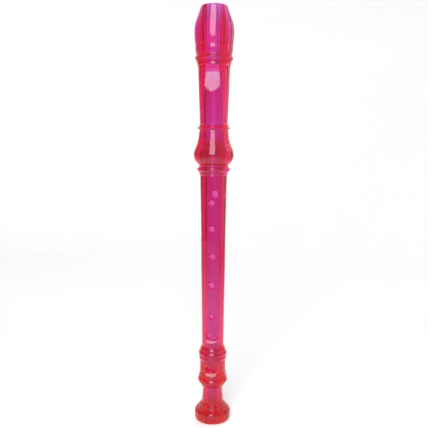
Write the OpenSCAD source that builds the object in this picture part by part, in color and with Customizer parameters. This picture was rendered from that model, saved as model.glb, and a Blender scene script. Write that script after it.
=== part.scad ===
// Soprano recorder in three joints: head, middle and foot, with the block that forms the windway.
// Millimetres. The bell stands on z = 0, the bore runs along Z, and the finger holes face -Y.

/* [Overall] */
// Length from the bell to the tip of the beak
total_len = 329; // [326:1:334]
// Length of the head joint
head_len = 128.4; // [127.5:0.1:129.5]
// Height of the foot joint
foot_len = 62; // [61.5:0.5:63]

/* [Bore] */
// Radius of the bore through the head, and of the block that plugs it
head_bore_r = 6.6; // [6.4:0.05:6.8]
// Radius of the middle joint's bore at its upper end
middle_bore_top_r = 5.8; // [5.5:0.1:6]
// Radius of the middle joint's bore at its lower end
middle_bore_low_r = 4.8; // [4.7:0.1:5]
// Radius of the foot's bore, which is straight
foot_bore_r = 4.3; // [4:0.1:4.6]

/* [Tenons] */
// Radius of the tenon that fits the head
top_tenon_r = 9; // [8.8:0.1:9.2]
// Length of the tenon that fits the head
top_tenon_len = 24; // [22:1:25]
// Radius of the tenon that fits the foot
low_tenon_r = 7.4; // [7.2:0.1:7.5]
// Length of the tenon that fits the foot
low_tenon_len = 13; // [12:0.5:13.5]
// Radial clearance between a tenon and its socket
tenon_gap = 0.05; // [0.03:0.01:0.08]
// Gap left at the end of each tenon
end_gap = 0.3; // [0.25:0.05:0.5]
// Gap between a joint's end and the shoulder that it stops against
shoulder_gap = 0.1; // [0.05:0.05:0.2]

/* [Windway and window] */
// Distance from the tip of the beak to the upper edge of the window
windway_len = 44.7; // [44:0.1:45.5]
// Height of the mouth, from the windway's exit to the labium's edge
mouth_h = 4.6; // [4.2:0.1:5]
// Width of the windway and the mouth
mouth_w = 10.8; // [10.4:0.1:11]
// Distance from the bore's axis to the windway's floor, at its exit and at the tip of the beak
exit_floor_y = 6.4; // [6.3:0.05:6.5]
tip_floor_y = 4.8; // [4.7:0.05:5]
// Height of the windway at its exit
exit_h = 1.2; // [1:0.1:1.3]
// Height of the windway at the tip of the beak
entry_h = 2; // [1.8:0.1:2.2]
// Wall of the hollow block
block_wall = 1.6; // [1.4:0.1:2]

/* [Finger holes] */
// Diameters of the single holes 1 to 5, counted from the top
hole_d = [4.6, 4.8, 4.8, 5.4, 4];
// Diameters of the two halves of a double hole
double_d = [3.2, 2.4];
// Diameter of the thumb hole
thumb_d = 5.8; // [5.4:0.1:6]
// Bevel round the outer end of a single finger hole
finger_bevel = 0.8; // [0.5:0.05:0.9]
// Bevel round the thumb hole and round the halves of a double hole
small_bevel = 0.4; // [0.2:0.05:0.5]

/* [Hidden] */
$fn = 96;

clear_pink = [0.86, 0.14, 0.5];
cut = 1;

// Levels along the axis
head_low = total_len - head_len;
window_top = total_len - windway_len;
labium_z = window_top - mouth_h;
tenon_top = head_low + top_tenon_len;
tenon_low = foot_len - low_tenon_len;
socket_top = tenon_top + end_gap;
socket_low = tenon_low - end_gap;

// Radii of the head's tube at its two ends, and of the bead above the window
tube_top_r = 12.5;
tube_low_r = 10.85;
bead_r = 14.8;

// Outside of the middle joint, as [height, radius]
middle_taper = [[foot_len, 8.75], [140, 9.75], [157, 9.8], [head_low, 10.6]];

// Ramp that leads down from the labium's edge to the outside of the tube
labium_y = exit_floor_y + 0.6;
ramp_foot_y = 11.8;
ramp_foot_z = 264.6;
window_low_w = 12.6;
// Flat under the labium, where it runs out into the round bore, and how long it stays level
under_y = exit_floor_y + 0.2;
under_low_y = 3.8;
under_low_z = 262;
under_flat = 3;

// Back of the beak, cut away by a cylinder that lies across it
beak_cut_r = 59.7;
beak_cut_y = 57.9;
beak_cut_z = total_len - 1.5;
beak_cut_w = 60;

// Heights of the front finger holes and how far each lies to the side, and the same for the thumb
// hole at the back
hole_z = [179.5, 158.9, 136.9, 113.5, 88];
hole_x = [0, 0, 0.8, 0, 0];
thumb_z = 185.5;
thumb_x = 0.8;
// Double holes: height and sideways place of the large and the small half
double_6 = [[71.4, -2.3], [70.1, 2.5]];
double_7 = [[44.4, -2.3], [43.1, 2.5]];
dish_r = 6.3;
dish_w = 24;
dish_6_z = 69.6;
dish_6_y = 13.75;
dish_7_z = 42.9;
dish_7_y = 15.3;

// Height at which the foot's bore starts to widen towards the tenon, and the bevel round its mouth
foot_straight = 36;
mouth_bevel = 0.5;

// Fine grooves that hold the cork grease on the upper tenon, and how far below its end they are centred
groove_count = 5;
groove_pitch = 2;
groove_depth = 0.25;
groove_middle = 5.6;

// Points from a to b, bulged sideways by h in the middle
function swell(a, b, h, n = 6) =
    [for (i = [0 : n]) a + (b - a) * i / n + [h * sin(180 * i / n), 0]];

// Points along a curve that is pulled towards b and c on its way from a to d
function bend(a, b, c, d, n = 8) =
    [for (i = [0 : n]) let (t = i / n, s = 1 - t)
        s * s * s * a + 3 * s * s * t * b + 3 * s * t * t * c + t * t * t * d];

// Outline of the head, from its lower end up to the tip of the beak, as [radius, height]
head_outline = concat(
    [[0, head_low + shoulder_gap], [10.75, head_low + shoulder_gap]],
    [[11.25, head_low + 0.9], [11.45, head_low + 2.1], [11.2, head_low + 2.4]],
    swell([11.75, head_low + 2.7], [11.85, head_low + 6.8], 1.25, 8),
    [[11.35, head_low + 7.1]],
    bend(
        [11.7, head_low + 8.5], [13.45, head_low + 9.6],
        [15.85, head_low + 12.6], [15.85, head_low + 16.3]
    ),
    bend(
        [15.85, head_low + 16.3], [15.85, head_low + 20],
        [11.85, head_low + 25.6], [11.7, head_low + 31.9]
    ),
    [[11.25, head_low + 34.8], [11.35, head_low + 35.6], [12.6, head_low + 36]],
    [[12.85, head_low + 36.4], [12.85, head_low + 37.1], [12.2, head_low + 37.5]],
    [[11.5, head_low + 37.8], [11.3, head_low + 38.2], [11.6, head_low + 38.5]],
    [[11.6, head_low + 39], [11.3, head_low + 39.3], [tube_low_r, head_low + 39.7]],
    [[tube_top_r, window_top], [13.05, window_top + 0.4]],
    [[13.1, window_top + 1.9], [12.8, window_top + 2.2]],
    [[13.55, window_top + 2.5], [13.7, window_top + 3.6], [13.4, window_top + 3.9]],
    swell([14, window_top + 4.2], [14.1, window_top + 7.3], bead_r - 14.05, 8),
    [[13.6, window_top + 7.6], [13.95, window_top + 7.9]],
    [[13.95, window_top + 8.6], [13.6, window_top + 9]],
    bend(
        [14, window_top + 9.4], [14.15, window_top + 10.2],
        [14.45, window_top + 11.4], [14.5, window_top + 13], 4
    ),
    [[14.65, window_top + 15.1], [14.25, window_top + 15.55], [14.75, window_top + 16]],
    bend(
        [15.25, window_top + 21.2], [15.6, window_top + 25.6],
        [15.45, window_top + 29.4], [14.25, window_top + 33.2]
    ),
    [[10.35, total_len - 0.6], [9.7, total_len], [0, total_len]]
);

// Outline of the foot, from the bell's rim up to the top of the socket
foot_outline = concat(
    [[0, 0], [13.9, 0], [14.35, 0.7], [14.7, 3.6], [14.7, 6.2]],
    bend([14.6, 6.8], [14.45, 7.7], [14, 8.3], [12.9, 8.7], 6),
    [[12.75, 9.3], [12.4, 9.6], [11.5, 9.8], [11.35, 10.7], [11.05, 11], [10.7, 11.1]],
    [[10.6, 12.3], [10.3, 12.6], [9.6, 12.9], [9.45, 13.8], [8.8, 14.1], [8.55, 16.5]],
    [[7.75, 26.8], [7.9, 27.2], [8.95, 27.6], [9.1, 28.4], [9.65, 29.2], [10.25, 29.9]],
    [[10.5, 30.4], [10.25, 30.7]],
    swell([10.95, 31], [11.45, 35.6], 0.85, 8),
    [[11, 35.9], [11.3, 36.2], [11.15, 37.3], [10.75, 37.7], [11, 38], [10.8, 39.4], [10.45, 40.2]],
    [[10.45, foot_len - 11.6]],
    swell([10.5, foot_len - 11.2], [10.85, foot_len - 8.7], 0.42),
    [[10.45, foot_len - 8.45]],
    swell([10.85, foot_len - 8.2], [10.7, foot_len - 3.9], 0.65, 8),
    [[10.2, foot_len - 3.6], [10.2, foot_len - 2.6], [9.8, foot_len - 1.2], [9.15, foot_len - 0.4]],
    [[8.85, foot_len - shoulder_gap], [0, foot_len - shoulder_gap]]
);

// A hole along Y, from the axis out through the surface at surface_y, where it is bevelled;
// side is -1 for the front and 1 for the back
module radial_bore(x, z, d, side, surface_y, bevel) {
    translate([x, 0, z])
        rotate([side < 0 ? 90 : -90, 0, 0]) {
            cylinder(h = surface_y, d = d);
            translate([0, 0, surface_y - bevel])
                cylinder(h = bevel + cut, d1 = d, d2 = d + 2 * (bevel + cut));
        }
}

// A double hole: a large and a small bore side by side in a scooped dish
module double_hole(halves, dish_z, dish_y) {
    translate([0, -dish_y, dish_z])
        rotate([0, 90, 0])
            cylinder(h = dish_w, r = dish_r, center = true);
    for (i = [0 : 1])
        radial_bore(halves[i][1], halves[i][0], double_d[i], -1, dish_y - dish_r, small_bevel);
}

// Mouth of the window, with sides that splay out down the ramp
module window_cut() {
    ramp_run = labium_z - ramp_foot_z;
    ramp_rise = ramp_foot_y - labium_y;
    ramp_angle = atan(ramp_rise / ramp_run);
    translate([-mouth_w / 2, -20, labium_z])
        cube([mouth_w, 20, mouth_h]);
    intersection() {
        rotate([90, 0, 0])
            linear_extrude(height = 20)
                polygon([
                    [-mouth_w / 2, labium_z + cut], [mouth_w / 2, labium_z + cut],
                    [mouth_w / 2, labium_z], [window_low_w / 2, ramp_foot_z],
                    [-window_low_w / 2, ramp_foot_z], [-mouth_w / 2, labium_z]
                ]);
        translate([0, -labium_y, labium_z])
            rotate([-ramp_angle, 0, 0])
                translate([-20, -40, -40])
                    cube([40, 40, 80]);
    }
}

// A profile of [distance in front of the axis, height] points, as wide across the front as w
module across(w, profile) {
    rotate([90, 0, 90])
        linear_extrude(height = w, center = true)
            polygon([for (p = profile) [-p[0], p[1]]]);
}

// Bore of the head, squared off under the labium
module head_bore() {
    translate([0, 0, head_low - cut])
        cylinder(h = head_len + 2 * cut, r = head_bore_r);
    across(mouth_w, [
        [0, under_low_z], [under_low_y, under_low_z], [under_y, labium_z - under_flat],
        [under_y, window_top], [0, window_top]
    ]);
}

// Room for the block and the windway on top of it, higher at the tip than at the exit
module windway_cut() {
    across(mouth_w, [
        [0, window_top - cut], [0, total_len + cut], [tip_floor_y + entry_h, total_len + cut],
        [tip_floor_y + entry_h, total_len], [exit_floor_y + exit_h, window_top],
        [exit_floor_y + exit_h, window_top - cut]
    ]);
}

// Round bar with a crown as wide as the windway, planed off at the windway's floor; all round,
// it is smaller by inset
module block_bar(z0, z1, inset) {
    intersection() {
        union() {
            translate([0, 0, z0])
                cylinder(h = z1 - z0, r = head_bore_r - inset);
            across(mouth_w - 2 * inset, [[0, z0], [0, z1], [2 * head_bore_r, z1], [2 * head_bore_r, z0]]);
        }
        across(4 * head_bore_r, [
            [-2 * head_bore_r, z0], [-2 * head_bore_r, z1],
            [tip_floor_y - inset, z1], [exit_floor_y - inset, z0]
        ]);
    }
}

// Cylinder across the instrument that cuts the back of the beak away
module beak_cut() {
    translate([0, beak_cut_y, beak_cut_z])
        rotate([0, 90, 0])
            cylinder(h = beak_cut_w, r = beak_cut_r, center = true);
}

module head_shell() {
    color(clear_pink)
        difference() {
            rotate_extrude()
                polygon(head_outline);
            beak_cut();
            head_bore();
            windway_cut();
            translate([0, 0, head_low - cut])
                cylinder(h = socket_top - head_low + cut, r = top_tenon_r + tenon_gap);
            window_cut();
        }
}

module windway_block() {
    color(clear_pink)
        difference() {
            block_bar(window_top, total_len, 0);
            block_bar(window_top + block_wall, total_len + cut, block_wall);
            beak_cut();
        }
}

module middle_joint() {
    color(clear_pink)
        difference() {
            union() {
                rotate_extrude()
                    polygon(concat(
                        [[0, foot_len]],
                        [for (level = middle_taper) [level[1], level[0]]],
                        [[0, head_low]]
                    ));
                translate([0, 0, head_low - cut])
                    cylinder(h = top_tenon_len + cut, r = top_tenon_r);
                translate([0, 0, tenon_low])
                    cylinder(h = low_tenon_len + cut, r = low_tenon_r);
            }
            translate([0, 0, tenon_low - cut])
                cylinder(
                    h = tenon_top - tenon_low + 2 * cut,
                    r1 = middle_bore_low_r,
                    r2 = middle_bore_top_r
                );
            for (i = [0 : groove_count - 1])
                translate([0, 0, tenon_top - groove_middle + (i - (groove_count - 1) / 2) * groove_pitch])
                    rotate_extrude()
                        translate([top_tenon_r, 0])
                            circle(r = groove_depth, $fn = 24);
            for (i = [0 : len(hole_d) - 1])
                let (z = hole_z[i])
                    radial_bore(hole_x[i], z, hole_d[i], -1, lookup(z, middle_taper), finger_bevel);
            radial_bore(thumb_x, thumb_z, thumb_d, 1, lookup(thumb_z, middle_taper), small_bevel);
            double_hole(double_6, dish_6_z, dish_6_y);
        }
}

module foot_joint() {
    color(clear_pink)
        difference() {
            rotate_extrude()
                polygon(foot_outline);
            translate([0, 0, -cut])
                cylinder(h = foot_len + 2 * cut, r = foot_bore_r);
            translate([0, 0, socket_low])
                cylinder(h = foot_len, r = low_tenon_r + tenon_gap);
            // Taper from the socket's floor down into the straight bore
            translate([0, 0, foot_straight])
                cylinder(h = socket_low - foot_straight, r1 = foot_bore_r, r2 = middle_bore_low_r);
            cylinder(h = mouth_bevel, r1 = foot_bore_r + mouth_bevel, r2 = foot_bore_r);
            double_hole(double_7, dish_7_z, dish_7_y);
        }
}

head_shell();
windway_block();
middle_joint();
foot_joint();
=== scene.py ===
"""Looks of the clear pink soprano recorder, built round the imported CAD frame.

Lengths in the shape functions are millimetres in the CAD frame; MM turns them into metres.
"""
import math

import bmesh
import bpy
from mathutils import Matrix, Vector


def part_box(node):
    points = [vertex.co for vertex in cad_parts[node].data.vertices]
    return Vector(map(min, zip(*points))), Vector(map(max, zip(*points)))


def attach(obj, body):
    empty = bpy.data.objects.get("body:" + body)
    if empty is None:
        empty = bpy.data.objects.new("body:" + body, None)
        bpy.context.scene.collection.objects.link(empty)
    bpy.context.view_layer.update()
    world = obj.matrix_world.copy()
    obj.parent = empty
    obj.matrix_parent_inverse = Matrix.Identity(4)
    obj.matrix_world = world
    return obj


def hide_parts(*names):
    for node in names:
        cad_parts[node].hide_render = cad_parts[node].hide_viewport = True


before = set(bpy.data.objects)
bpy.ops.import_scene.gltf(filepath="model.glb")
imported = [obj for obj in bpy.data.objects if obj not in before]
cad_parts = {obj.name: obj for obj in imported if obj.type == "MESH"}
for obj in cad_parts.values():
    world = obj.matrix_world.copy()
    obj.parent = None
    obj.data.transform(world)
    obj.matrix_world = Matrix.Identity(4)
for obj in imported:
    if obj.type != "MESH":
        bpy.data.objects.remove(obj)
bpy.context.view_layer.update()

MM = 0.001
SIDES = 192
HOLE_SIDES = 72
DISH_SIDES = 160
BEAK_SIDES = 320
# Points closer than this are welded; edges sharper than this many degrees stay sharp
WELD = 0.0004
SHARP_ANGLE = 13

# ---- Driving sizes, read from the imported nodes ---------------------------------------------

head_lo, head_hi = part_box("head_shell")
block_lo, block_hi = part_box("windway_block")
middle_lo, middle_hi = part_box("middle_joint")
foot_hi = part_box("foot_joint")[1]

SHOULDER_GAP = 0.1
TOTAL = round(head_hi.z / MM, 2)
HEAD_LOW = round(head_lo.z / MM, 2) - SHOULDER_GAP
WINDOW_TOP = round(block_lo.z / MM, 2)
TENON_TOP = round(middle_hi.z / MM, 2)
TENON_LOW = round(middle_lo.z / MM, 2)
FOOT_LEN = round(foot_hi.z / MM, 2) + SHOULDER_GAP
BORE_R = round(block_hi.x / MM, 2)

TOP_TENON_R = 9.0
LOW_TENON_R = 7.4
TENON_GAP = 0.05
END_GAP = 0.3
MIDDLE_BORE = (4.8, 5.8)
FOOT_BORE_R = 4.3
FOOT_STRAIGHT = 36.0
MOUTH_BEVEL = 0.5
MOUTH_H = 4.6
MOUTH_W = 10.8
EXIT_FLOOR_Y = 6.4
TIP_FLOOR_Y = 4.8
EXIT_H = 1.2
ENTRY_H = 2.0
LABIUM_Z = WINDOW_TOP - MOUTH_H
LABIUM_Y = EXIT_FLOOR_Y + 0.6
UNDER_Y = EXIT_FLOOR_Y + 0.2
# Points of the ramp's foot and of the space under the labium, as (in front of the axis, height)
RAMP_FOOT = (11.8, 264.6)
UNDER_LOW = (3.8, 262.0)
UNDER_FLAT = 3.0
RAMP_LOW_W = 12.6
# Radius, place behind the axis and height of the cylinder that cuts the back of the beak away
BEAK_CUT = (59.7, 57.9, TOTAL - 1.5)
# The middle joint's outside as (height, radius)
MIDDLE_TAPER = [(FOOT_LEN, 8.75), (140.0, 9.75), (157.0, 9.8), (HEAD_LOW, 10.6)]
# Finger holes and thumb hole as (sideways place, height, diameter)
HOLES = [(0, 179.5, 4.6), (0, 158.9, 4.8), (0.8, 136.9, 4.8), (0, 113.5, 5.4), (0, 88.0, 4.0)]
THUMB = (0.8, 185.5, 5.8)
FINGER_BEVEL = 0.8
SMALL_BEVEL = 0.4
HOLE_START = 1.2
HOLE_SOFT = 0.12
BLOCK_WALL = 1.6
BLOCK_GAP = 0.03
CROWN_GAP = 0.02
CROWN_STEP = 0.15
# Double holes: sideways place and diameter of the large and the small bore
DOUBLE_X = (-2.3, 2.5)
DOUBLE_D = (3.2, 2.4)
# Where each double hole sits: heights of its two bores, then its dish's axis in front and height
DOUBLE_6 = (71.4, 70.1, 13.75, 69.6)
DOUBLE_7 = (44.4, 43.1, 15.3, 42.9)
DISH_R = 6.3
DISH_HALF_W = 14
BEAK_HALF_W = 25
GROOVES = 5
GROOVE_PITCH = 2.0
GROOVE_MIDDLE = TENON_TOP - 5.6
GROOVE_HALF_W = 0.3
GROOVE_DEPTH = 0.25
# Bevels as (across, along)
LOW_TENON_BEVEL = (0.3, 0.5)
TOP_TENON_BEVEL = (0.5, 0.6)
LOW_SOCKET_BEVEL = (0.3, 0.5)
TOP_SOCKET_BEVEL = 0.4
# Cutters run PAST the surfaces they cut; some have a side OUTSIDE the recorder or INSIDE the bore
PAST = 1.0
OUTSIDE = 20.0
INSIDE = 0.4
OVERLAP = 0.001


# ---- Outlines ------------------------------------------------------------------------------

def swell(a, b, h, n=20):
    """Points from a to b, bulged outwards by h in the middle."""
    return [
        (a[0] + (b[0] - a[0]) * i / n + h * math.sin(math.pi * i / n), a[1] + (b[1] - a[1]) * i / n)
        for i in range(n + 1)
    ]


def bend(a, b, c, d, n=20):
    """Points along a curve that is pulled towards b and c on its way from a to d."""
    points = []
    for i in range(n + 1):
        t = i / n
        s = 1 - t
        w = (s ** 3, 3 * s * s * t, 3 * s * t * t, t ** 3)
        points.append(tuple(sum(w[k] * p[j] for k, p in enumerate((a, b, c, d))) for j in (0, 1)))
    return points


def soften(points, radius=0.15, steps=8, least=14, longest=2.5):
    """The same outline with each sharp corner rounded, as moulded plastic has them."""
    out = [points[0]]
    for before, at, after in zip(points, points[1:], points[2:]):
        p, q, r = Vector(before), Vector(at), Vector(after)
        into, away = q - p, r - q
        if into.length < 1e-6 or away.length < 1e-6:
            continue
        if math.degrees(into.angle(away)) < least:
            out.append(at)
            continue
        reach = min(radius, into.length * 0.45, away.length * 0.45)
        start = q - into.normalized() * reach
        end = q + away.normalized() * reach
        for i in range(steps + 1):
            t = i / steps
            out.append(tuple(start * (1 - t) ** 2 + q * 2 * t * (1 - t) + end * t * t))
    out.append(points[-1])
    fine = [out[0]]
    for p, q in zip(out, out[1:]):
        n = max(1, math.ceil(math.dist(p, q) / longest))
        fine += [(p[0] + (q[0] - p[0]) * i / n, p[1] + (q[1] - p[1]) * i / n) for i in range(1, n + 1)]
    return fine


def head_outline():
    """The outside of the head as (radius, height), from the socket's rim up to the tip."""
    low = HEAD_LOW
    top = WINDOW_TOP
    return soften(
        [(10.75, low + SHOULDER_GAP), (11.25, low + 0.9), (11.45, low + 2.1), (11.2, low + 2.4)]
        + swell((11.75, low + 2.7), (11.85, low + 6.8), 1.25)
        + [(11.35, low + 7.1)]
        + bend((11.7, low + 8.5), (13.45, low + 9.6), (15.85, low + 12.6), (15.85, low + 16.3))
        + bend((15.85, low + 16.3), (15.85, low + 20), (11.85, low + 25.6), (11.7, low + 31.9))[1:]
        + [(11.25, low + 34.8), (11.35, low + 35.6), (12.6, low + 36), (12.85, low + 36.4)]
        + [(12.85, low + 37.1), (12.2, low + 37.5), (11.5, low + 37.8), (11.3, low + 38.2)]
        + [(11.6, low + 38.5), (11.6, low + 39), (11.3, low + 39.3), (10.85, low + 39.7)]
        + [(12.5, top), (13.05, top + 0.4), (13.1, top + 1.9), (12.8, top + 2.2)]
        + [(13.55, top + 2.5), (13.7, top + 3.6), (13.4, top + 3.9)]
        + swell((14, top + 4.2), (14.1, top + 7.3), 0.75)
        + [(13.6, top + 7.6), (13.95, top + 7.9), (13.95, top + 8.6), (13.6, top + 9)]
        + bend((14, top + 9.4), (14.15, top + 10.2), (14.45, top + 11.4), (14.5, top + 13), 10)
        + [(14.65, top + 15.1), (14.25, top + 15.55), (14.75, top + 16)]
        + bend((15.25, top + 21.2), (15.6, top + 25.6), (15.45, top + 29.4), (14.25, top + 33.2))
        + [(10.35, TOTAL - 0.6), (9.7, TOTAL)]
    )


def foot_outline():
    """The outside of the foot as (radius, height), from the bell's rim up to the socket's rim."""
    top = FOOT_LEN
    return soften(
        [(13.9, 0), (14.35, 0.7), (14.7, 3.6), (14.7, 6.2)]
        + bend((14.6, 6.8), (14.45, 7.7), (14, 8.3), (12.9, 8.7), 14)
        + [(12.75, 9.3), (12.4, 9.6), (11.5, 9.8), (11.35, 10.7), (11.05, 11), (10.7, 11.1)]
        + [(10.6, 12.3), (10.3, 12.6), (9.6, 12.9), (9.45, 13.8), (8.8, 14.1), (8.55, 16.5)]
        + [(7.75, 26.8), (7.9, 27.2), (8.95, 27.6), (9.1, 28.4), (9.65, 29.2), (10.25, 29.9)]
        + [(10.5, 30.4), (10.25, 30.7)]
        + swell((10.95, 31), (11.45, 35.6), 0.85)
        + [(11, 35.9), (11.3, 36.2), (11.15, 37.3), (10.75, 37.7), (11, 38), (10.8, 39.4), (10.45, 40.2)]
        + [(10.45, top - 11.6)]
        + swell((10.5, top - 11.2), (10.85, top - 8.7), 0.42, 12)
        + [(10.45, top - 8.45)]
        + swell((10.85, top - 8.2), (10.7, top - 3.9), 0.65)
        + [(10.2, top - 3.6), (10.2, top - 2.6), (9.8, top - 1.2), (9.15, top - 0.4)]
        + [(8.85, top - SHOULDER_GAP)]
    )


def middle_radius(z):
    """Outside radius of the middle joint at height z."""
    for (z0, r0), (z1, r1) in zip(MIDDLE_TAPER, MIDDLE_TAPER[1:]):
        if z <= z1:
            return r0 + (r1 - r0) * (z - z0) / (z1 - z0)
    return MIDDLE_TAPER[-1][1]


# ---- Mesh tools ----------------------------------------------------------------------------

def make(name, bm):
    """An object in the scene with the mesh that bm holds."""
    mesh = bpy.data.meshes.new(name)
    bmesh.ops.recalc_face_normals(bm, faces=bm.faces)
    bm.to_mesh(mesh)
    bm.free()
    obj = bpy.data.objects.new(name, mesh)
    bpy.context.scene.collection.objects.link(obj)
    return obj


def loft(name, rings, closed=False):
    """A skin over rings of points, given in millimetres; the ends are capped unless it is closed."""
    bm = bmesh.new()
    rows = [[bm.verts.new([c * MM for c in p]) for p in ring] for ring in rings]
    pairs = list(zip(rows, rows[1:]))
    if closed:
        pairs.append((rows[-1], rows[0]))
    for a, b in pairs:
        for i in range(len(a)):
            j = (i + 1) % len(a)
            bm.faces.new((a[i], a[j], b[j], b[i]))
    if not closed:
        bm.faces.new(rows[0])
        bm.faces.new(reversed(rows[-1]))
    return make(name, bm)


def round_points(r, sides):
    """Points of a circle in its own plane."""
    return [
        (r * math.cos(2 * math.pi * i / sides), r * math.sin(2 * math.pi * i / sides))
        for i in range(sides)
    ]


def circle(r, z):
    """A level ring round the axis."""
    return [(x, y, z) for x, y in round_points(r, SIDES)]


def turned(name, outline):
    """A solid of revolution round Z from (radius, height) points."""
    return loft(name, [circle(r, z) for r, z in outline])


def across(name, points, half_w):
    """A polygon of (in front of the axis, height) points, half_w wide to each side of the middle."""
    return loft(name, [[(x, -front, z) for front, z in points] for x in (-half_w, half_w)])


def carve(obj, cutters):
    """Cuts each cutter out of obj and deletes the cutters."""
    for cutter in cutters:
        modifier = obj.modifiers.new("cut", "BOOLEAN")
        modifier.operation = "DIFFERENCE"
        modifier.solver = "EXACT"
        modifier.object = cutter
        graph = bpy.context.evaluated_depsgraph_get()
        mesh = bpy.data.meshes.new_from_object(obj.evaluated_get(graph))
        obj.modifiers.clear()
        old = obj.data
        obj.data = mesh
        bpy.data.meshes.remove(old)
        bpy.data.objects.remove(cutter)
    return obj


def finish_mesh(obj):
    """Welds slivers and shades smooth between sharp edges."""
    bm = bmesh.new()
    bm.from_mesh(obj.data)
    bmesh.ops.remove_doubles(bm, verts=bm.verts, dist=WELD * MM)
    bmesh.ops.dissolve_degenerate(bm, edges=bm.edges, dist=WELD * MM)
    bmesh.ops.recalc_face_normals(bm, faces=bm.faces)
    bm.to_mesh(obj.data)
    bm.free()
    obj.data.shade_smooth()
    obj.data.set_sharp_from_angle(angle=math.radians(SHARP_ANGLE))
    return obj


# ---- Cutters -------------------------------------------------------------------------------

def hole_cutter(x, z, d, side, surface_y, bevel):
    """A hole along Y from near the axis, bevelled where it comes out at surface_y, with softened edges."""
    r = d / 2
    rows = soften([(r, HOLE_START), (r, surface_y - bevel), (r + bevel + PAST, surface_y + PAST)], HOLE_SOFT)
    return loft("hole", [
        [(x + u, side * along, z + v) for u, v in round_points(radius, HOLE_SIDES)]
        for radius, along in rows
    ])


def crosswise(name, r, y, z, half_w, sides):
    """A cylinder across the instrument, with its axis at y and z."""
    return loft(name, [[(x, y + u, z + v) for u, v in round_points(r, sides)] for x in (-half_w, half_w)])


def beak_cutter():
    """The cylinder that cuts the back of the beak away."""
    r, y, z = BEAK_CUT
    return crosswise("beak_cut", r, y, z, BEAK_HALF_W, BEAK_SIDES)


def double_hole(z_big, z_small, dish_y, dish_z):
    """A large and a small bore side by side in a scooped dish."""
    floor = dish_y - DISH_R
    return [
        crosswise("dish", DISH_R, -dish_y, dish_z, DISH_HALF_W, DISH_SIDES),
        hole_cutter(DOUBLE_X[0], z_big, DOUBLE_D[0], -1, floor, SMALL_BEVEL),
        hole_cutter(DOUBLE_X[1], z_small, DOUBLE_D[1], -1, floor, SMALL_BEVEL),
    ]


# ---- The pieces ----------------------------------------------------------------------------

def ramp_cutter():
    """Room in front of the ramp, which runs from the labium's edge down to the outside of the tube."""
    half = MOUTH_W / 2
    low_half = RAMP_LOW_W / 2
    slope = (RAMP_FOOT[0] - LABIUM_Y) / (LABIUM_Z - RAMP_FOOT[1])
    top_z = LABIUM_Z + OVERLAP
    end_y = RAMP_FOOT[0] + slope * PAST
    end_z = RAMP_FOOT[1] - PAST
    return loft("ramp", [
        [(-half, -LABIUM_Y, top_z), (half, -LABIUM_Y, top_z),
         (half, -OUTSIDE, top_z), (-half, -OUTSIDE, top_z)],
        [(-low_half, -end_y, end_z), (low_half, -end_y, end_z),
         (low_half, -OUTSIDE, end_z), (-low_half, -OUTSIDE, end_z)]])


def build_head():
    half = MOUTH_W / 2
    socket_r = TOP_TENON_R + TENON_GAP
    socket_top = TENON_TOP + END_GAP
    socket = turned("socket", soften([
        (socket_r + TOP_SOCKET_BEVEL + PAST, HEAD_LOW - PAST), (socket_r, HEAD_LOW + TOP_SOCKET_BEVEL),
        (socket_r, socket_top), (BORE_R - INSIDE, socket_top)]))
    bore = turned("bore", soften([(BORE_R, HEAD_LOW + PAST), (BORE_R, TOTAL + PAST)]))
    tip_roof = TIP_FLOOR_Y + ENTRY_H
    exit_roof = EXIT_FLOOR_Y + EXIT_H
    slot = across("slot", [
        (0, WINDOW_TOP - PAST), (0, TOTAL + PAST), (tip_roof, TOTAL + PAST), (tip_roof, TOTAL),
        (exit_roof, WINDOW_TOP), (exit_roof, WINDOW_TOP - PAST)], half)
    under = across("under", [
        (0, UNDER_LOW[1]), UNDER_LOW, (UNDER_Y, LABIUM_Z - UNDER_FLAT),
        (UNDER_Y, WINDOW_TOP), (0, WINDOW_TOP)], half)
    mouth = across("mouth", [
        (0, LABIUM_Z), (OUTSIDE, LABIUM_Z), (OUTSIDE, WINDOW_TOP), (0, WINDOW_TOP)], half)
    head = turned("head", head_outline())
    carve(head, [socket, bore, slot, under, mouth, ramp_cutter(), beak_cutter()])
    return finish_mesh(head)


def block_ring(z, floor_y, inset=0.0, side_steps=5, arc_steps=128, front_steps=8):
    """One section of the plug: a round bar with a crown as wide as the windway, planed off at floor_y."""
    r = BORE_R - BLOCK_GAP - inset
    half = MOUTH_W / 2 - CROWN_GAP - inset
    top = floor_y - inset
    shoulder = min(math.sqrt(r * r - half * half), top - CROWN_STEP)
    side = []
    for i in range(side_steps):
        y = top - (top - shoulder) * i / side_steps
        side.append((max(half, math.sqrt(max(r * r - y * y, 0))), -y, z))
    start = -math.asin(shoulder / r)
    sweep = math.pi - 2 * start
    turns = [start + sweep * i / arc_steps for i in range(arc_steps + 1)]
    arc = [(r * math.cos(a), r * math.sin(a), z) for a in turns]
    edge = side[0][0]
    front = [(edge * (2 * i / front_steps - 1), -top, z) for i in range(1, front_steps)]
    return front + side + arc + [(-x, y, z) for x, y, z in reversed(side)]


def build_block():
    block = loft("block", [block_ring(WINDOW_TOP, EXIT_FLOOR_Y), block_ring(TOTAL, TIP_FLOOR_Y)])
    hollow = loft("hollow", [
        block_ring(WINDOW_TOP + BLOCK_WALL, EXIT_FLOOR_Y, BLOCK_WALL),
        block_ring(TOTAL + PAST, TIP_FLOOR_Y, BLOCK_WALL)])
    carve(block, [hollow, beak_cutter()])
    return finish_mesh(block)


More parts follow.
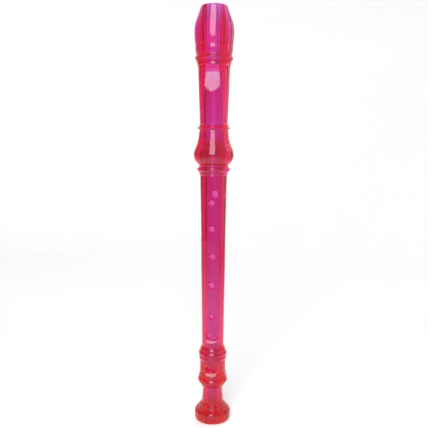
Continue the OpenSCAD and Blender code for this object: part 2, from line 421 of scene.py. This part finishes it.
def build_middle():
    across_low, along_low = LOW_TENON_BEVEL
    across_top, along_top = TOP_TENON_BEVEL
    outline = [(MIDDLE_BORE[0], TENON_LOW), (LOW_TENON_R - across_low, TENON_LOW)]
    outline += [(LOW_TENON_R, TENON_LOW + along_low), (LOW_TENON_R, FOOT_LEN)]
    outline += [(r, z) for z, r in MIDDLE_TAPER]
    outline += [(TOP_TENON_R, HEAD_LOW)]
    for i in range(GROOVES):
        z = GROOVE_MIDDLE + (i - (GROOVES - 1) / 2) * GROOVE_PITCH
        outline += swell((TOP_TENON_R, z - GROOVE_HALF_W), (TOP_TENON_R, z + GROOVE_HALF_W), -GROOVE_DEPTH, 8)
    outline += [(TOP_TENON_R, TENON_TOP - along_top), (TOP_TENON_R - across_top, TENON_TOP)]
    outline += [(MIDDLE_BORE[1], TENON_TOP)]
    middle = loft("middle", [circle(r, z) for r, z in soften(outline)], closed=True)
    cutters = [hole_cutter(x, z, d, -1, middle_radius(z), FINGER_BEVEL) for x, z, d in HOLES]
    cutters.append(hole_cutter(*THUMB, 1, middle_radius(THUMB[1]), SMALL_BEVEL))
    cutters += double_hole(*DOUBLE_6)
    carve(middle, cutters)
    return finish_mesh(middle)


def build_foot():
    socket_low = TENON_LOW - END_GAP
    socket_r = LOW_TENON_R + TENON_GAP
    bevel_across, bevel_along = LOW_SOCKET_BEVEL
    inner = [
        (socket_r + bevel_across, FOOT_LEN - SHOULDER_GAP), (socket_r, FOOT_LEN - bevel_along),
        (socket_r, socket_low), (MIDDLE_BORE[0], socket_low), (FOOT_BORE_R, FOOT_STRAIGHT),
        (FOOT_BORE_R, MOUTH_BEVEL), (FOOT_BORE_R + MOUTH_BEVEL, 0)]
    outline = foot_outline() + soften(inner)
    foot = loft("foot", [circle(r, z) for r, z in outline], closed=True)
    carve(foot, double_hole(*DOUBLE_7))
    return finish_mesh(foot)


# ---- Node helpers --------------------------------------------------------------------------

def calc(tree, kind, operation, *values):
    """Adds a math node of this kind; a value that is a socket is linked, any other is set."""
    node = tree.nodes.new(kind)
    node.operation = operation
    for socket, value in zip(node.inputs, values):
        if isinstance(value, bpy.types.NodeSocket):
            tree.links.new(value, socket)
        else:
            socket.default_value = value
    return node


def multiply(tree, a, b):
    """The product of a and b; either can be a socket or a number."""
    return calc(tree, "ShaderNodeMath", "MULTIPLY", a, b).outputs["Value"]


def remap(tree, value, start, end, to_start, to_end, kind="SMOOTHSTEP"):
    """Runs from to_start to to_end while value runs from start to end."""
    node = tree.nodes.new("ShaderNodeMapRange")
    node.interpolation_type = kind
    tree.links.new(value, node.inputs["Value"])
    for name, number in (("From Min", start), ("From Max", end), ("To Min", to_start), ("To Max", to_end)):
        node.inputs[name].default_value = number
    return node.outputs["Result"]


def noise(tree, where, scale, detail):
    """Noise over the coordinates in where."""
    node = tree.nodes.new("ShaderNodeTexNoise")
    node.inputs["Scale"].default_value = scale
    node.inputs["Detail"].default_value = detail
    tree.links.new(where, node.inputs["Vector"])
    return node.outputs["Fac"]


# ---- Material ------------------------------------------------------------------------------

SMUDGE_SCALE = 90
SMUDGE_SPAN = (0.35, 0.75)
RIPPLE_SCALE = 420
ROUGHNESS = (0.015, 0.06)


def clear_plastic(name, density):
    """Clear pink plastic: a smooth moulded skin over a body that soaks up green, then blue; the skin has a
    faint painted red glow that stands in for the plastic's fluorescence and shines without any lamp.
    """
    material = bpy.data.materials.new(name)
    material.use_nodes = True
    tree = material.node_tree
    tree.nodes.clear()
    out = tree.nodes.new("ShaderNodeOutputMaterial")
    skin = tree.nodes.new("ShaderNodeBsdfPrincipled")
    skin.inputs["Base Color"].default_value = (0.57, 0.86, 0.94, 1)
    skin.inputs["Transmission Weight"].default_value = 1.0
    skin.inputs["IOR"].default_value = 1.5
    # Painted glow: a faint red emission in the skin stands in for the fluorescent light the plastic gives
    # off, and shines even with no lamp on it
    skin.inputs["Emission Color"].default_value = (1, 0.05, 0.07, 1)
    skin.inputs["Emission Strength"].default_value = 0.1
    body = tree.nodes.new("ShaderNodeVolumeAbsorption")
    body.inputs["Color"].default_value = (0.98, 0.0, 0.64, 1)
    body.inputs["Density"].default_value = density
    where = tree.nodes.new("ShaderNodeTexCoord").outputs["Object"]
    smudge = noise(tree, where, SMUDGE_SCALE, 4)
    ripple = noise(tree, where, RIPPLE_SCALE, 2)
    bump = tree.nodes.new("ShaderNodeBump")
    bump.inputs["Strength"].default_value = 0.04
    bump.inputs["Distance"].default_value = 0.0002
    tree.links.new(remap(tree, smudge, *SMUDGE_SPAN, *ROUGHNESS, "LINEAR"), skin.inputs["Roughness"])
    tree.links.new(ripple, bump.inputs["Height"])
    tree.links.new(bump.outputs["Normal"], skin.inputs["Normal"])
    tree.links.new(skin.outputs["BSDF"], out.inputs["Surface"])
    tree.links.new(body.outputs["Volume"], out.inputs["Volume"])
    return material


# Absorption per metre differs a little, so that walls of different thickness come out alike
for piece, node, body, plastic, density in (
    (build_head(), "head_shell", "head", "clear_pink_head", 420),
    (build_block(), "windway_block", "head", "clear_pink_block", 280),
    (build_middle(), "middle_joint", "middle", "clear_pink_body", 500),
    (build_foot(), "foot_joint", "foot", "clear_pink_foot", 680),
):
    piece.name = node + "_clear"
    piece.data.materials.append(clear_plastic(plastic, density))
    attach(piece, body)
    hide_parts(node)


# ---- Stage, light and camera ---------------------------------------------------------------

VIEW_AZIMUTH = 8.0
PAPER = 0.88
PAPER_GLOW = 0.27
FLOOR_R = 0.82
FLOOR_DROP = 0.0005
# Painted shade on the floor: its paint and glow are darkened between these distances and between these angles
# off the backdrop's middle
FADE_NEAR = 0.25
FADE_FAR = 0.6
FADE_ANGLE = 42
FADE_END_ANGLE = 57
FADE_TO = 0.45
# The room's glow rises between these two cosines of the angle off the backdrop's middle
ROOM_SPAN = (-0.7, 0.1)
ROOM_GLOW = (0.38, 0.52)
ROOM_MIDDLE = 0.9
ROOM_LEAN = 0.4
AIM = Vector((0, 0, 0.2))

turn = math.radians(VIEW_AZIMUTH)
BEHIND = (-math.sin(turn), math.cos(turn), 0)
RIGHT = (math.cos(turn), math.sin(turn), 0)


def paper(name):
    """Matt white paper that glows a little, which keeps it white."""
    material = bpy.data.materials.new(name)
    material.use_nodes = True
    skin = material.node_tree.nodes["Principled BSDF"]
    skin.inputs["Base Color"].default_value = (PAPER, PAPER, PAPER, 1)
    skin.inputs["Roughness"].default_value = 0.9
    skin.inputs["Specular IOR Level"].default_value = 0.0
    skin.inputs["Emission Color"].default_value = (1, 1, 1, 1)
    skin.inputs["Emission Strength"].default_value = PAPER_GLOW
    return material


def backdrop(half_angle, radius, height, cove, steps=24, columns=48):
    """A seamless sweep behind the recorder: the floor curves up into a bowed wall."""
    path = []
    for i in range(steps + 1):
        a = math.pi / 2 * i / steps
        path.append((radius - cove + cove * math.sin(a), cove - cove * math.cos(a)))
    path.append((radius, height))
    bm = bmesh.new()
    strips = []
    for k in range(columns + 1):
        a = math.radians(VIEW_AZIMUTH + half_angle * (2 * k / columns - 1))
        strips.append([bm.verts.new((-r * math.sin(a), r * math.cos(a), z)) for r, z in path])
    for left, right in zip(strips, strips[1:]):
        for i in range(len(left) - 1):
            bm.faces.new((left[i], right[i], right[i + 1], left[i + 1]))
    obj = make("backdrop", bm)
    obj.data.shade_smooth()
    obj.data.materials.append(paper("paper"))


def floor():
    """A round floor of the same paper, with painted shade: its paint and glow are darkened away from the
    backdrop, down to the level of the room.
    """
    bm = bmesh.new()
    bmesh.ops.create_circle(bm, cap_ends=True, segments=128, radius=FLOOR_R)
    obj = make("floor", bm)
    obj.location.z = -FLOOR_DROP
    material = paper("floor_paper")
    tree = material.node_tree
    where = tree.nodes.new("ShaderNodeTexCoord").outputs["Object"]
    distance = calc(tree, "ShaderNodeVectorMath", "LENGTH", where).outputs["Value"]
    outward = calc(tree, "ShaderNodeVectorMath", "NORMALIZE", where).outputs["Vector"]
    facing = calc(tree, "ShaderNodeVectorMath", "DOT_PRODUCT", outward, BEHIND).outputs["Value"]
    # Painted shade: far from the backdrop's middle and off to its sides, the floor's paint and glow are
    # darkened towards the room's level
    away = remap(tree, distance, FADE_NEAR, FADE_FAR, 0, 1 - FADE_TO)
    aside_end = math.cos(math.radians(FADE_END_ANGLE))
    aside = remap(tree, facing, aside_end, math.cos(math.radians(FADE_ANGLE)), 1, 0)
    painted_shade_amount = multiply(tree, away, aside)
    painted_light_level = calc(tree, "ShaderNodeMath", "SUBTRACT", 1, painted_shade_amount).outputs["Value"]
    skin = tree.nodes["Principled BSDF"]
    tree.links.new(multiply(tree, painted_light_level, PAPER), skin.inputs["Base Color"])
    tree.links.new(multiply(tree, painted_light_level, PAPER_GLOW), skin.inputs["Emission Strength"])
    obj.data.materials.append(material)


def room():
    """The room is dark behind the camera, half bright at the left and bright at the right."""
    world = bpy.data.worlds.new("studio")
    bpy.context.scene.world = world
    world.use_nodes = True
    tree = world.node_tree
    where = tree.nodes.new("ShaderNodeTexCoord").outputs["Generated"]
    behind = calc(tree, "ShaderNodeVectorMath", "DOT_PRODUCT", where, BEHIND).outputs["Value"]
    right = calc(tree, "ShaderNodeVectorMath", "DOT_PRODUCT", where, RIGHT).outputs["Value"]
    level = remap(tree, behind, *ROOM_SPAN, *ROOM_GLOW, "LINEAR")
    lean = multiply(tree, right, ROOM_LEAN)
    lean = calc(tree, "ShaderNodeMath", "ADD", lean, ROOM_MIDDLE).outputs["Value"]
    glow = tree.nodes["Background"]
    glow.inputs["Color"].default_value = (1, 1, 1, 1)
    tree.links.new(multiply(tree, level, lean), glow.inputs["Strength"])


def softbox(name, azimuth, elevation, width, height, radiance, distance=1.5):
    """A rectangular light that faces AIM; azimuth 0 is in front of the recorder, towards -Y."""
    a = math.radians(azimuth)
    e = math.radians(elevation)
    outward = Vector((math.sin(a) * math.cos(e), -math.cos(a) * math.cos(e), math.sin(e)))
    data = bpy.data.lights.new(name, "AREA")
    data.shape = "RECTANGLE"
    data.size = width
    data.size_y = height
    data.energy = radiance * math.pi * width * height
    obj = bpy.data.objects.new(name, data)
    obj.location = AIM + distance * outward
    obj.rotation_euler = (-outward).to_track_quat("-Z", "Y").to_euler()
    bpy.context.scene.collection.objects.link(obj)


backdrop(half_angle=38, radius=1.3, height=2.0, cove=0.5)
floor()
room()
softbox("key", VIEW_AZIMUTH - 9, elevation=30.5, width=0.8, height=1.5, radiance=6)
softbox("rim", VIEW_AZIMUTH + 98, elevation=16, width=0.07, height=0.75, radiance=4)
softbox("edge", VIEW_AZIMUTH + 128, elevation=16, width=0.07, height=0.75, radiance=4)

EYE_DISTANCE = 0.440
EYE_HEIGHT = 0.226
DIP = 7.27
ROLL = 0.3
SHIFT = 0.0005
camera_data = bpy.data.cameras.new("camera")
camera_data.lens = 46.93
camera_data.sensor_width = 36
camera_data.clip_start = 0.01
camera = bpy.data.objects.new("camera", camera_data)
bpy.context.scene.collection.objects.link(camera)
camera.matrix_world = (
    Matrix.Translation((EYE_DISTANCE * math.sin(turn), -EYE_DISTANCE * math.cos(turn), EYE_HEIGHT))
    @ Matrix.Rotation(turn, 4, "Z")
    @ Matrix.Rotation(math.radians(90 - DIP), 4, "X")
    @ Matrix.Rotation(math.radians(ROLL), 4, "Z")
    @ Matrix.Translation((SHIFT, 0, 0))
)
bpy.context.scene.camera = camera

scene = bpy.context.scene
scene.view_settings.view_transform = "Standard"
scene.cycles.max_bounces = 40
scene.cycles.transmission_bounces = 40
scene.cycles.glossy_bounces = 12
scene.cycles.transparent_max_bounces = 24
